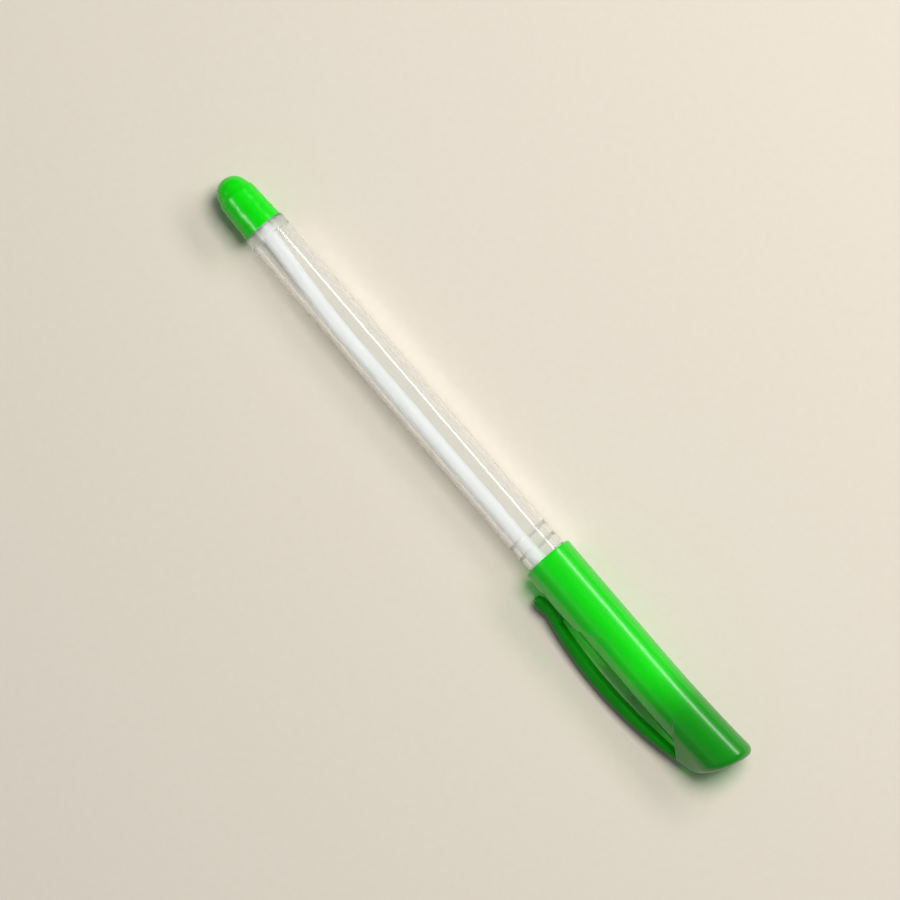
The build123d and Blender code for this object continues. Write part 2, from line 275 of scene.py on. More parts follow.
# Moulded acetal: dense white with a satin, slightly waxy surface and faint flow marks.
acetal, place = blank_material("moulded_acetal")
acetal_flow_size = 1.5 * mm
acetal_flow = add(
    acetal,
    "TexNoise",
    {"Vector": place, "Scale": 1 / acetal_flow_size, "Detail": 3.0, "Distortion": 0.6},
)
acetal_colour = add(
    acetal,
    "Mix",
    {0: acetal_flow.outputs["Fac"], 6: linear("#e2e1da"), 7: linear("#efeee9")},
    data_type="RGBA",
)
acetal_bump = add(
    acetal,
    "Bump",
    {"Height": acetal_flow.outputs["Fac"], "Strength": 0.15, "Distance": 0.02 * mm},
)
acetal_shader = add(
    acetal,
    "BsdfPrincipled",
    {
        "Base Color": acetal_colour.outputs[2],
        "Roughness": 0.4,
        "IOR": 1.48,
        "Normal": acetal_bump.outputs["Normal"],
    },
)
add(acetal, "OutputMaterial", {"Surface": acetal_shader.outputs["BSDF"]})
frame["nodes"]["tip_holder"].data.materials.clear()
frame["nodes"]["tip_holder"].data.materials.append(acetal)

# Ink: a column of thick green ballpoint paste inside the refill tube.
# The white tube hides it, so the solid itself is shown.

# Ink paste: almost black green, wet and glossy, with slow swirls.
ink, place = blank_material("ballpoint_ink_paste")
ink_cloud_size = 2.0 * mm
swirl = add(
    ink,
    "TexNoise",
    {"Vector": place, "Scale": 1 / ink_cloud_size, "Detail": 2.0, "Distortion": 1.5},
)
ink_colour = add(
    ink,
    "Mix",
    {0: swirl.outputs["Fac"], 6: linear("#00381b"), 7: linear("#005c2e")},
    data_type="RGBA",
)
ink_shader = add(ink, "BsdfPrincipled", {"Base Color": ink_colour.outputs[2], "Roughness": 0.12, "IOR": 1.5})
add(ink, "OutputMaterial", {"Surface": ink_shader.outputs["BSDF"]})
frame["nodes"]["ink_column"].data.materials.clear()
frame["nodes"]["ink_column"].data.materials.append(ink)

# Refill tube: a white polypropylene tube, extruded and cut to length. It is longer than it needs to be,
# so it bows sideways in the barrel until it touches the bore, and comes back to the nose.
refill_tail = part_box("refill_tube")[0].x
refill_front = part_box("refill_tube")[1].x
refill_radius = 1.54 * mm
refill_bore_radius = 1.0 * mm
refill_end_round = 0.08 * mm
bow_offset = 1.6 * mm
bow_lean = radians(12)
bow_rise_end = refill_tail + 30 * mm
bow_fall_start = refill_front - 35 * mm
bow_fall_end = refill_front - 14 * mm
refill_sides = 64
refill_step = 1.5 * mm


def eased(value, start, end):
    """0 before start and 1 after end, with a smooth S between them."""
    share = np.clip((value - start) / (end - start), 0, 1)
    return share * share * (3 - 2 * share)


def refill_row(x, radius):
    """Loop of points round the bowed tube at x."""
    bow = bow_offset * (eased(x, refill_tail, bow_rise_end) - eased(x, bow_fall_start, bow_fall_end))
    row = on_axis(x, radius, np.linspace(0, 2 * pi, refill_sides, endpoint=False))
    return row + bow * np.array([0, -cos(bow_lean), -sin(bow_lean)])


# Extruded polypropylene: white and slightly waxy, with die lines drawn out along the tube.
# The lines are drawn 0.25 mm apart, coarser than the die leaves them.
extruded, place = blank_material("extruded_white_polypropylene")
die_line_pitch = 0.25 * mm
die_line_length = 12 * mm
stretch = add(
    extruded,
    "Mapping",
    {"Vector": place, "Scale": (1 / die_line_length, 1 / die_line_pitch, 1 / die_line_pitch)},
)
die_lines = add(extruded, "TexNoise", {"Vector": stretch.outputs["Vector"], "Scale": 1.0, "Detail": 2.0})
extruded_colour = add(
    extruded,
    "Mix",
    {0: die_lines.outputs["Fac"], 6: linear("#dcdcda"), 7: linear("#e9e9e8")},
    data_type="RGBA",
)
die_bump = add(extruded, "Bump", {"Height": die_lines.outputs["Fac"], "Strength": 0.2, "Distance": 0.02 * mm})
extruded_shader = add(
    extruded,
    "BsdfPrincipled",
    {
        "Base Color": extruded_colour.outputs[2],
        "Roughness": 0.38,
        "IOR": 1.49,
        "Normal": die_bump.outputs["Normal"],
    },
)
add(extruded, "OutputMaterial", {"Surface": extruded_shader.outputs["BSDF"]})

along_refill = np.linspace(refill_tail, refill_front, ceil((refill_front - refill_tail) / refill_step))
refill_ends = rounded(
    [
        (refill_tail, refill_radius, refill_end_round),
        (refill_front, refill_radius, refill_end_round),
        (refill_front, refill_bore_radius, refill_end_round),
        (refill_tail, refill_bore_radius, refill_end_round),
    ]
)
corner_points = len(refill_ends) // 4
refill_outline = refill_ends[:corner_points]
refill_outline += [(x, refill_radius) for x in along_refill[1:-1]]
refill_outline += refill_ends[corner_points : 3 * corner_points]
refill_outline += [(x, refill_bore_radius) for x in along_refill[-2:0:-1]]
refill_outline += refill_ends[3 * corner_points :]
refill_rows = [refill_row(x, radius) for x, radius in refill_outline]
white_refill = skinned("white_refill", refill_rows, extruded, "white_polypropylene", "pen", ring=True)
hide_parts("refill_tube")

# Nose cone: moulded from natural polypropylene, with no colour added.
# Its spigot is pushed into the barrel's front and it holds the refill's tip on the axis.
barrel_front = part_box("barrel")[1].x
nose_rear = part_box("nose_cone")[0].x
nose_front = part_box("nose_cone")[1].x
holder_seat = refill_front + 1.2 * mm
nose_throat_radius = 2.3 * mm
nose_spigot_radius = 3.18 * mm
nose_base_radius = 4.05 * mm
nose_front_radius = 1.75 * mm
nose_bore_radius = 1.32 * mm
nose_edge_round = 0.25 * mm
nose_sides = 96

# Natural polypropylene: milky and a little see-through, satin, with slow clouds from the mould.
natural, place = blank_material("natural_polypropylene")
cloud_size = 3.0 * mm
nose_grain_size = 0.25 * mm
clouds = add(natural, "TexNoise", {"Vector": place, "Scale": 1 / cloud_size, "Detail": 3.0})
nose_grain = add(natural, "TexNoise", {"Vector": place, "Scale": 1 / nose_grain_size, "Detail": 2.0})
natural_colour = add(
    natural,
    "Mix",
    {0: clouds.outputs["Fac"], 6: linear("#d8d8cf"), 7: linear("#ebebe4")},
    data_type="RGBA",
)
natural_bump = add(
    natural,
    "Bump",
    {"Height": nose_grain.outputs["Fac"], "Strength": 0.12, "Distance": 0.02 * mm},
)
natural_shader = add(
    natural,
    "BsdfPrincipled",
    {
        "Base Color": natural_colour.outputs[2],
        "Roughness": 0.42,
        "IOR": 1.49,
        "Subsurface Weight": 0.4,
        "Subsurface Radius": (1.0, 1.0, 0.8),
        "Subsurface Scale": 1.0 * mm,
        "Normal": natural_bump.outputs["Normal"],
    },
)
add(natural, "OutputMaterial", {"Surface": natural_shader.outputs["BSDF"]})

nose_corners = [
    (nose_rear, nose_throat_radius, nose_edge_round),
    (nose_rear, nose_spigot_radius, nose_edge_round),
    (barrel_front, nose_spigot_radius, 0),
    (barrel_front, nose_base_radius, nose_edge_round / 2),
    (nose_front, nose_front_radius, nose_edge_round),
    (nose_front, nose_bore_radius, nose_edge_round / 2),
    (holder_seat, nose_bore_radius, 0),
    (holder_seat, nose_throat_radius, 0),
]
milky_nose = turned(
    "milky_nose", rounded(nose_corners), nose_sides, natural, "natural_polypropylene", "pen", ring=True
)
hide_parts("nose_cone")

# Barrel: a clear tube moulded from crystal polystyrene, with a low collar and a narrow neck at the tail
# for the end cap, and fine rings for the fingers cut round its front.
neck_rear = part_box("barrel")[0].x
joint_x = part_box("end_cap")[1].x
collar_front = joint_x + 2.5 * mm
bore_rear = joint_x + 0.15 * mm
barrel_radius = 4.35 * mm
barrel_bore_radius = 3.2 * mm
barrel_front_round = 0.25 * mm
collar_radius = 4.43 * mm
collar_round = 0.04 * mm
collar_rear_round = 0.06 * mm
neck_radius = 3.28 * mm
neck_bore_radius = 2.45 * mm
ring_first = barrel_front - 35.5 * mm
ring_pitch = 2.79 * mm
ring_count = 13
ring_radius = 0.2 * mm
ring_steps = 6
barrel_sides = 160

# Crystal polystyrene: clear and glossy with a high refractive index, so the wall shines along its edges.
# Handling has left it with fine scratches and scuffs that blur it a little, and the collar is frosted.
# Lamps shine straight through it onto the refill.
crystal, place = blank_material("crystal_polystyrene")
scratch_width = 0.12 * mm
scratch_length = 4.0 * mm
scuff_size = 1.2 * mm
frost_fade = 0.5 * mm
drawn = add(
    crystal,
    "Mapping",
    {"Vector": place, "Scale": (1 / scratch_length, 1 / scratch_width, 1 / scratch_width)},
)
scratches = add(crystal, "TexNoise", {"Vector": drawn.outputs["Vector"], "Scale": 1.0, "Detail": 3.0})
scuffs = add(crystal, "TexNoise", {"Vector": place, "Scale": 1 / scuff_size, "Detail": 5.0})
marks = add(crystal, "Math", {0: scratches.outputs["Fac"], 1: scuffs.outputs["Fac"]}, operation="MAXIMUM")
crystal_gloss = add(
    crystal,
    "MapRange",
    {"Value": marks.outputs["Value"], "From Min": 0.45, "From Max": 0.8, "To Min": 0.01, "To Max": 0.08},
)
collar_frost = add(
    crystal,
    "MapRange",
    {
        "Value": add(crystal, "SeparateXYZ", {"Vector": place}).outputs["X"],
        "From Min": collar_front - frost_fade,
        "From Max": collar_front + frost_fade,
        "To Min": 0.3,
        "To Max": 0.0,
    },
)
barrel_gloss = add(
    crystal,
    "Math",
    {0: crystal_gloss.outputs["Result"], 1: collar_frost.outputs["Result"]},
    operation="MAXIMUM",
)
crystal_shader = add(
    crystal,
    "BsdfPrincipled",
    {
        "Base Color": linear("#fdfefd"),
        "Roughness": barrel_gloss.outputs["Value"],
        "IOR": 1.59,
        "Transmission Weight": 0.94,
    },
)
barrel_rays = add(crystal, "LightPath")
clear_pass = add(crystal, "BsdfTransparent", {"Color": linear("#f5f6f5")})
clear_to_lamps = add(
    crystal,
    "MixShader",
    {
        0: barrel_rays.outputs["Is Shadow Ray"],
        1: crystal_shader.outputs["BSDF"],
        2: clear_pass.outputs["BSDF"],
    },
)
add(crystal, "OutputMaterial", {"Surface": clear_to_lamps.outputs["Shader"]})

ring_points = [
    (ring_first + i * ring_pitch - ring_radius * cos(turn), barrel_radius - ring_radius * sin(turn), 0)
    for i in range(ring_count)
    for turn in np.linspace(0, pi, ring_steps + 1)
]
barrel_corners = [
    (collar_front, barrel_radius, collar_round),
    *ring_points,
    (barrel_front, barrel_radius, barrel_front_round),
    (barrel_front, barrel_bore_radius, 0),
    (bore_rear, barrel_bore_radius, 0),
    (bore_rear, neck_bore_radius, 0),
    (neck_rear, neck_bore_radius, 0),
    (neck_rear, neck_radius, 0),
    (joint_x, neck_radius, 0),
    (joint_x, collar_radius, collar_rear_round),
    (collar_front, collar_radius, collar_round / 2),
]
clear_barrel = turned(
    "clear_barrel", rounded(barrel_corners), barrel_sides, crystal, "clear_polystyrene", "pen", ring=True
)
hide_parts("barrel")

# End cap: a domed plug moulded from green polypropylene and pushed over the barrel's neck up to the collar.
# The dome stands on a small shoulder, and the wall has sunk a little where it is thick.
tail_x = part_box("end_cap")[0].x
end_cap_radius = 4.2 * mm
dome_radius = 3.4 * mm
shoulder_rise = 0.45 * mm
shoulder_start = tail_x + 3.0 * mm
shoulder_end = tail_x + 4.3 * mm
end_cap_socket_radius = 3.3 * mm
socket_end = neck_rear - 0.02 * mm
core_radius = 2.2 * mm
core_depth = 2.6 * mm
end_cap_rim_round = 0.05 * mm
sink_depth = 0.022 * mm
sink_length = 1.9 * mm
sink_lobes = 3
end_cap_sides = 128
dome_steps = 18
wall_steps = 48

# Opaque green polypropylene: strong pure green, glossy but softened by the moulding's slight unevenness.
plug_green, place = blank_material("green_polypropylene")
unevenness_size = 1.6 * mm
plug_grain_size = 0.15 * mm
uneven = add(plug_green, "TexNoise", {"Vector": place, "Scale": 1 / unevenness_size, "Detail": 2.0})
plug_grain = add(plug_green, "TexNoise", {"Vector": place, "Scale": 1 / plug_grain_size, "Detail": 2.0})
plug_colour = add(
    plug_green,
    "Mix",
    {0: uneven.outputs["Fac"], 6: linear("#00d400"), 7: linear("#00ec00")},
    data_type="RGBA",
)
grain_bump = add(
    plug_green,
    "Bump",
    {"Height": plug_grain.outputs["Fac"], "Strength": 0.1, "Distance": 0.01 * mm},
)
plug_bump = add(
    plug_green,
    "Bump",
    {
        "Height": uneven.outputs["Fac"],
        "Strength": 0.6,
        "Distance": 0.12 * mm,
        "Normal": grain_bump.outputs["Normal"],
    },
)
plug_gloss = add(plug_green, "MapRange", {"Value": uneven.outputs["Fac"], "To Min": 0.22, "To Max": 0.34})
plug_shader = add(
    plug_green,
    "BsdfPrincipled",
    {
        "Base Color": plug_colour.outputs[2],
        "Roughness": plug_gloss.outputs["Result"],
        "IOR": 1.49,
        "Normal": plug_bump.outputs["Normal"],
    },
)
add(plug_green, "OutputMaterial", {"Surface": plug_shader.outputs["BSDF"]})

dome_end = tail_x + dome_radius


def plug_radius(x):
    """Radius of the plug's outside at x: a round dome, then a slightly widening wall with a soft shoulder."""
    dome = np.sqrt(np.maximum(dome_radius**2 - np.minimum(x - dome_end, 0) ** 2, 0))
    widening = end_cap_radius - shoulder_rise - dome_radius
    wall = widening * np.maximum(x - dome_end, 0) / (joint_x - dome_end)
    return dome + wall + shoulder_rise * eased(x, shoulder_start, shoulder_end)


dome_x = dome_end - dome_radius * np.cos(np.linspace(0, pi / 2, dome_steps + 1))
plug_wall_x = np.linspace(dome_end, joint_x - end_cap_rim_round, wall_steps)[1:]
plug_outside = [(x, plug_radius(x)) for x in np.concatenate([dome_x, plug_wall_x])]
plug_inside = [
    (joint_x, end_cap_radius - end_cap_rim_round),
    (joint_x, end_cap_socket_radius),
    (socket_end, end_cap_socket_radius),
    (socket_end, core_radius),
    (socket_end - core_depth, core_radius),
    (socket_end - core_depth, 0),
]
around_plug = np.linspace(0, 2 * pi, end_cap_sides, endpoint=False)


def sunk(x):
    """How far the wall has drawn in at x, all round the plug."""
    ripple = np.sin(2 * pi * x / sink_length) * np.sin(sink_lobes * around_plug + x / sink_length)
    return sink_depth * (ripple - 1) / 2 * eased(x, dome_end, dome_end + sink_length)


plug_rows = [on_axis(x, radius + sunk(x), around_plug) for x, radius in plug_outside]
plug_rows += [on_axis(x, radius, around_plug) for x, radius in guarded(plug_inside)]
green_plug = skinned("green_plug", plug_rows, plug_green, "green_polypropylene", "pen")
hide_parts("end_cap")

# Cap: a tube moulded from translucent green polypropylene, closed at the far end, which is pushed on over
# the nose. It leans back a little towards its slanting end, carries the clip on a rounded block, and has a
# shallow recess under the clip.
clip_side = Vector(joints["clip_flex"]["axis"])
clip_out = Vector((0, -clip_side.z, clip_side.y))
cap_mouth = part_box("cap")[0].x
cap_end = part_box("cap")[1].x
cap_radius = 5.26 * mm
cap_bore_radius = 4.43 * mm
cap_mouth_round = 0.25 * mm
cap_seat = barrel_front + 0.4 * mm
hollow_end = cap_end - 5.8 * mm
hollow_radius = 3.4 * mm
hollow_round = 1.2 * mm
lean_start = cap_mouth + 29 * mm
lean_shift = 0.97 * mm
end_radius = 45 * mm
end_slant = radians(15.5)
end_setback = 0.25 * mm
end_back_round = 2.1 * mm
end_clip_round = 1.0 * mm
recess_depth = 0.5 * mm
recess_start = cap_mouth + 18.8 * mm
recess_floor = 0.4 * mm
recess_start_run = tan(radians(53))
crease_round = 0.16 * mm
clip_rise = 4.14 * mm
clip_bow_radius = 71.5 * mm
clip_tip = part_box("cap_clip")[0].x
clip_root = cap_end - 8.4 * mm
clip_apex_share = 0.506
clip_apex = clip_tip + clip_apex_share * (clip_root - clip_tip)
root_slope = tan(radians(46.6))
block_half_width = 1.5 * mm
block_round = 0.5 * mm
block_fall = 0.28
cap_sides = 224
coarse_step = 0.5 * mm
fine_step = 0.16 * mm
fine_before = 8 * mm
fine_after = 2 * mm
hollow_round_steps = 8
mouth_round_steps = 6
end_pivot = cap_end - 8 * mm
end_rows = 64
end_search_reach = 20 * mm
bisections = 40
least_facing = 0.02
beyond_reach = 3 * cap_radius

lean_run = cap_end - lean_start
lean_radius = (lean_run**2 + lean_shift**2) / (2 * lean_shift)
clip_apex_height = cap_radius + clip_rise
end_centre_x = cap_end - end_setback - end_back_round - (end_radius - end_back_round) * cos(end_slant)
end_centre_height = end_back_round - cap_radius - lean_shift - (end_radius - end_back_round) * sin(end_slant)


def on_cap(x, height, side):
    """Points of the row frame at x along the pen, a height towards the clip and a step to its side."""
    x, height, side = np.broadcast_arrays(x, height, side)
    middle = np.stack([x, np.full(x.shape, axis_y), np.full(x.shape, axis_z)], -1)
    return middle + height[..., None] * np.array(clip_out) + side[..., None] * np.array(clip_side)


def smooth_min(a, b, size):
    """The lower of two heights, with a fillet of about that size where they cross."""
    share = np.clip(0.5 + 0.5 * (b - a) / size, 0, 1)
    return b + (a - b) * share - size * share * (1 - share)


def smooth_max(a, b, size):
    """The higher of two heights, with a fillet of about that size where they cross."""
    return -smooth_min(-a, -b, size)


def lean(x):
    """How far the cap's outside has moved away from the clip at x."""
    return lean_radius - np.sqrt(lean_radius**2 - np.maximum(x - lean_start, 0) ** 2)


def bow_height(x):
    """Height of the clip's outer face above the pen's axis at x."""
    return clip_apex_height - clip_bow_radius + np.sqrt(clip_bow_radius**2 - (x - clip_apex) ** 2)


root_height = bow_height(clip_root)


def block_height(x):
    """Height of the clip's block above the pen's axis at x: the clip's bow, then a straight fall."""
    fall = root_height - block_fall * (x - clip_root)
    return np.where(x < clip_root, bow_height(np.minimum(x, clip_root)), fall)


def cap_reach(x, turn):
    """Radius of the cap's outside about its leaning middle, at x and a turn counted from the clip."""
    towards = np.cos(turn)
    lift = np.maximum(towards, least_facing)
    shift = lean(x)
    top = block_height(x) + shift
    corner = np.maximum(np.hypot(top, block_half_width), cap_radius)
    flank_turn = np.arctan2(block_half_width, top) + np.arccos(cap_radius / corner)
    flank = cap_radius / np.cos(np.maximum(flank_turn - np.abs(turn), 0))
    block = smooth_min(flank, np.minimum(top / lift, beyond_reach), block_round)
    root_line = root_height - (clip_root - x) * root_slope + shift
    root_face = np.clip(root_line / lift, -beyond_reach, beyond_reach)
    start_line = recess_floor + (recess_start - x) / recess_start_run + shift
    start_face = np.clip(start_line / lift, -beyond_reach, beyond_reach)
    recess = cap_radius - recess_depth * np.maximum(towards, 0)
    carried = smooth_min(block, root_face, crease_round)
    before = smooth_min(cap_radius, start_face, crease_round)
    body = smooth_max(recess, before, crease_round)
    with_block = np.maximum(body, smooth_max(body, carried, crease_round))
    return np.where(towards > least_facing, with_block, cap_radius)


# Translucent green polypropylene: thin walls over the pale nose and barrel glow a clear bright green, and
# the solid end looks much darker. The wall really lets some light through and soaks it up, but the effect is
# also painted into the base colour: a bright painted glow towards the mouth, standing in for light coming
# back from the pale parts inside, fading to a darker painted shade at the solid end. The surface is glossy,
# with faint flow marks and fine wear.
# Light from the lamps that gets through it is green.
cap_green, place = blank_material("translucent_green_polypropylene")
cap_flow_size = 5.0 * mm
wear_size = 0.2 * mm
# Where the painted glow fades into painted shade along the cap, and how far that edge wanders.
painted_glow_fade_start = cap_end - 26 * mm
painted_glow_fade_end = cap_end - 10 * mm
painted_glow_wander = 2.5 * mm
along = add(cap_green, "SeparateXYZ", {"Vector": place})
cap_flow = add(
    cap_green,
    "TexNoise",
    {"Vector": place, "Scale": 1 / cap_flow_size, "Detail": 2.0, "Distortion": 0.8},
)
cap_wear = add(cap_green, "TexNoise", {"Vector": place, "Scale": 1 / wear_size, "Detail": 3.0})
painted_glow_wobble = add(
    cap_green,
    "MapRange",
    {"Value": cap_flow.outputs["Fac"], "To Min": -painted_glow_wander, "To Max": painted_glow_wander},
)
painted_glow_place = add(
    cap_green,
    "Math",
    {0: along.outputs["X"], 1: painted_glow_wobble.outputs["Result"]},
    operation="ADD",
)
# Painted light mask: 0 towards the mouth, where the base colour is painted bright as glow, 1 at the solid
# end, where it is painted darker as shade.
painted_shade_share = add(
    cap_green,
    "MapRange",
    {"Value": painted_glow_place.outputs["Value"], "From Min": painted_glow_fade_start, "From Max": painted_glow_fade_end},
    interpolation_type="SMOOTHSTEP",
)
# Base colour with painted light: bright painted glow over the sleeve, darker painted shade at the solid end.
cap_colour_with_painted_glow = add(
    cap_green,
    "Mix",
    {0: painted_shade_share.outputs["Result"], 6: linear("#04fa04"), 7: linear("#02b802")},
    data_type="RGBA",
)
cap_bump = add(
    cap_green,
    "Bump",
    {"Height": cap_wear.outputs["Fac"], "Strength": 0.06, "Distance": 0.01 * mm},
)
cap_gloss = add(cap_green, "MapRange", {"Value": cap_flow.outputs["Fac"], "To Min": 0.26, "To Max": 0.36})
cap_shader = add(
    cap_green,
    "BsdfPrincipled",
    {
        "Base Color": cap_colour_with_painted_glow.outputs[2],
        "Roughness": cap_gloss.outputs["Result"],
        "IOR": 1.49,
        "Transmission Weight": 0.45,
        "Coat Weight": 0.5,
        "Coat Roughness": 0.12,
        "Normal": cap_bump.outputs["Normal"],
    },
)
cap_rays = add(cap_green, "LightPath")
green_pass = add(cap_green, "BsdfTransparent", {"Color": linear("#80ff80")})
green_to_lamps = add(
    cap_green,
    "MixShader",
    {
        0: cap_rays.outputs["Is Shadow Ray"],
        1: cap_shader.outputs["BSDF"],
        2: green_pass.outputs["BSDF"],
    },
)
tint = add(cap_green, "VolumeAbsorption", {"Color": linear("#00f400"), "Density": 4000.0})
add(
    cap_green,
    "OutputMaterial",
    {"Surface": green_to_lamps.outputs["Shader"], "Volume": tint.outputs["Volume"]},
)

around_cap = np.linspace(-pi, pi, cap_sides, endpoint=False)
hollow = [
    (hollow_end, 0),
    *[
        (hollow_end - hollow_round * (1 - cos(turn)), hollow_radius - hollow_round * (1 - sin(turn)))
        for turn in np.linspace(0, pi / 2, hollow_round_steps)
    ],
    (cap_seat, cap_bore_radius),
    *[
        (cap_mouth + cap_mouth_round * (1 - sin(turn)), cap_bore_radius + cap_mouth_round * (1 - cos(turn)))
        for turn in np.linspace(0, pi / 2, mouth_round_steps)
    ],
]
cap_rows = [
    on_cap(x, radius * np.cos(around_cap), radius * np.sin(around_cap)) for x, radius in guarded(hollow)
]
mouth_lip = [
    (cap_mouth + cap_mouth_round * (1 - cos(turn)), cap_mouth_round * (1 - sin(turn)))
    for turn in np.linspace(0, pi / 2, mouth_round_steps)
]
cap_wall_x = [cap_mouth + cap_mouth_round]
while cap_wall_x[-1] < end_pivot:
    near_start = recess_start - fine_before < cap_wall_x[-1] < recess_start + fine_after
    near_root = clip_root - fine_before < cap_wall_x[-1]
    cap_wall_x.append(cap_wall_x[-1] + (fine_step if near_start or near_root else coarse_step))
for x, inset in mouth_lip[:-1] + [(x, 0) for x in cap_wall_x[:-1]]:
    reach = cap_reach(x, around_cap) - inset
    cap_rows.append(on_cap(x, reach * np.cos(around_cap) - lean(x), reach * np.sin(around_cap)))

# The closed end is found along rays from a point inside the cap, by halving steps. Its side and its slanting
# face meet in a round, which is larger at the back than at the clip.
tilt = np.linspace(pi / 2, 0, end_rows)[:, None]
round_middle = (end_back_round + end_clip_round) / 2
round_swing = (end_clip_round - end_back_round) / 2
corner_round = round_middle + round_swing * np.cos(around_cap)
inner = np.zeros((end_rows, cap_sides))
outer = np.full((end_rows, cap_sides), end_search_reach)
for _ in range(bisections):
    ray = (inner + outer) / 2
    x = end_pivot + ray * np.cos(tilt)
    radius = ray * np.sin(tilt)
    height = radius * np.cos(around_cap) - lean(x)
    past_side = radius - cap_reach(x, around_cap) + corner_round
    past_end = np.hypot(x - end_centre_x, height - end_centre_height) - end_radius + corner_round
    inside = np.hypot(np.maximum(past_side, 0), np.maximum(past_end, 0)) < corner_round
    inner = np.where(inside, ray, inner)
    outer = np.where(inside, outer, ray)
x = end_pivot + inner * np.cos(tilt)
radius = inner * np.sin(tilt)
cap_rows += list(on_cap(x, radius * np.cos(around_cap) - lean(x), radius * np.sin(around_cap)))
green_cap = skinned("green_cap", cap_rows, cap_green, "green_cap_polypropylene", "cap")
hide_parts("cap")

# Clip: a springy bowed bar, moulded in one with the cap's block, so it bends from its root.
# It has a flared lip, a notch behind it, and a narrower rib inside that grips a pocket's edge.
clip_width = 2.8 * mm
clip_thickness = 2.05 * mm
clip_notch = clip_tip + 4.0 * mm
clip_notch_thickness = 1.28 * mm
clip_edge_round = 0.22 * mm
clip_inner_round = 0.45 * mm
clip_lip_height = 7.94 * mm
clip_lip_setback = 1.2 * mm
clip_lip_radius = 4.9 * mm
clip_tip_height = 1.5 * mm
clip_tip_round = 1.0 * mm
clip_tip_under_round = 0.4 * mm
clip_tip_edge_round = 0.55 * mm
clip_notch_round = 0.6 * mm
clip_crown = 0.1 * mm
round_share_limit = 0.49
rib_width = 2.3 * mm
rib_edge = 0.25 * mm
rib_foot = cap_radius + 0.15 * mm
rib_start = clip_tip + 2.2 * mm
rib_end = rib_start + 4.2 * mm
rib_top = rib_end + 2.0 * mm
root_overlap = 1.4 * mm
root_sink = 0.12 * mm
bend_length = 14 * mm
clip_step = 0.25 * mm
tip_steps = 10
edge_steps = 6
face_steps = 16

clip_inner_apex = clip_apex_height - clip_thickness
notch_height = bow_height(clip_notch)
lip_low = clip_lip_height - clip_tip_height
inner_drop = clip_inner_apex - notch_height + clip_notch_thickness
clip_inner_radius = ((clip_apex - clip_notch) ** 2 + inner_drop**2) / (2 * inner_drop)


def end_inset(from_end, size):
    """How far a round of that size has drawn in a face, at a distance from the end that it rounds off."""
    return size - np.sqrt(size**2 - max(size - from_end, 0) ** 2)


def clip_section(x):
    """Loop of points round the bar at x: outer face, edges and inner face with its rib."""
    from_tip = max(x - clip_tip, 0)
    lip_share = 1 - eased(x, clip_tip, clip_notch)
    tip_edge = clip_edge_round + (clip_tip_edge_round - clip_edge_round) * lip_share
    lip = clip_lip_height - (from_tip - clip_lip_setback) ** 2 / (2 * clip_lip_radius)
    sink = root_sink * eased(x, clip_root, clip_root + root_overlap / 2)
    outer = smooth_max(block_height(x), lip, clip_notch_round) - end_inset(from_tip, clip_tip_round) - sink
    bowed = clip_inner_apex - clip_inner_radius + np.sqrt(clip_inner_radius**2 - (x - clip_apex) ** 2)
    notch_low = notch_height - clip_notch_thickness
    lip_inner = lip_low + (notch_low - lip_low) * from_tip / (clip_notch - clip_tip)
    inner = (bowed if x > clip_notch else lip_inner) + end_inset(from_tip, clip_tip_under_round)
    rib_low = np.interp(
        x,
        (clip_tip + clip_tip_under_round, rib_start, rib_end, rib_top),
        (lip_low, rib_foot, rib_foot, clip_apex_height),
    )
    half = clip_width / 2 - end_inset(from_tip, clip_tip_edge_round)
    corner = np.linspace(0, pi / 2, edge_steps)
    rise = np.sin(corner)
    run = np.cos(corner)
    edge = min(tip_edge, round_share_limit * (outer - inner), half)
    flat = np.linspace(-1, 1, face_steps)[1:-1] * (half - edge)
    top_side = np.concatenate([-half + edge - edge * run, flat, half - edge + edge * rise])
    top_flat = np.full(face_steps - 2, outer)
    top = np.concatenate([outer - edge + edge * rise, top_flat, outer - edge + edge * run])
    top -= clip_crown * (top_side / half) ** 2 * eased(from_tip, 0, clip_tip_round)
    edge = min(max(tip_edge, clip_inner_round), round_share_limit * (outer - inner), half)
    flat = np.linspace(1, -1, face_steps)[1:-1] * (half - edge)
    low_side = np.concatenate([half - edge + edge * run, flat, -half + edge - edge * rise])
    low_flat = np.full(face_steps - 2, inner)
    low = np.concatenate([inner + edge - edge * rise, low_flat, inner + edge - edge * run])
    ridge = 1 - eased(np.abs(low_side), rib_width / 2 - rib_edge, rib_width / 2)
    low -= ridge * max(inner - rib_low, 0) * (from_tip > clip_tip_under_round)
    return on_cap(x, np.concatenate([top, low]), np.concatenate([top_side, low_side]))


tip_x = clip_tip + clip_tip_round * (1 - np.cos(np.linspace(0, pi / 2, tip_steps)))
bar_x = np.arange(clip_tip + clip_tip_round + clip_step, clip_root + root_overlap, clip_step)
clip_loops = [clip_section(x) for x in np.concatenate([tip_x, bar_x])]
tip_end, root_end = (np.broadcast_to(loop.mean(0), loop.shape) for loop in (clip_loops[0], clip_loops[-1]))
clip_rows = [tip_end, *clip_loops, root_end]

# Green polypropylene for the clip: the same plastic as the cap, given a darker base colour as painted shade,
# since a solid bar with nothing pale behind it looks dark. It has the cap's flow marks and wear.
clip_green, place = blank_material("green_polypropylene_painted_shade")
clip_flow = add(
    clip_green,
    "TexNoise",
    {"Vector": place, "Scale": 1 / cap_flow_size, "Detail": 3.0, "Distortion": 0.8},
)
clip_wear = add(clip_green, "TexNoise", {"Vector": place, "Scale": 1 / wear_size, "Detail": 3.0})
